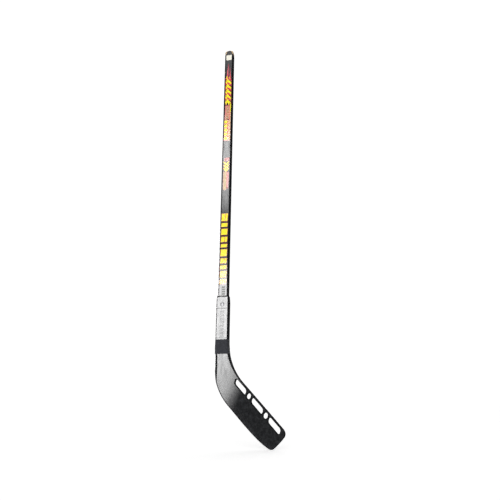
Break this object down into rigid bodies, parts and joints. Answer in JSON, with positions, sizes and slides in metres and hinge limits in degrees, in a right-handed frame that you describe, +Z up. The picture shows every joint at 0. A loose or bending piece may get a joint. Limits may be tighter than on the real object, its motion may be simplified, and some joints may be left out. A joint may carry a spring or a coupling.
{
  "type": "street hockey stick",
  "caption": "Street hockey stick: laminated wooden shaft in a printed film, with a slotted, curved plastic blade screwed on by its socket.",
  "frame": {"origin": "on the shaft's centre line, 75 mm below the butt, where the top hand grips", "axes": "+Z up the shaft to the butt, +X towards the blade's toe, -Y out of the printed face"},
  "size_m": [0.1874, 0.0344, 1.2556],
  "materials": {
    "core_wood": "sanded",
    "ply_wood": "sanded",
    "printed_film": "glossy print",
    "blade_plastic": "moulded, semi-gloss",
    "screw_steel": "dull zinc plated",
    "cloth_tape": "matt weave",
    "label_paper": "matt"
  },
  "bodies": {
    "root": {"shaft_core": "core_wood", "shaft_front_ply": "ply_wood", "shaft_rear_ply": "ply_wood", "shaft_film": "printed_film", "blade": "blade_plastic", "front_blade_screw": "screw_steel", "rear_blade_screw": "screw_steel", "neck_tape": "cloth_tape", "butt_label": "label_paper"}
  },
  "joints": []
}
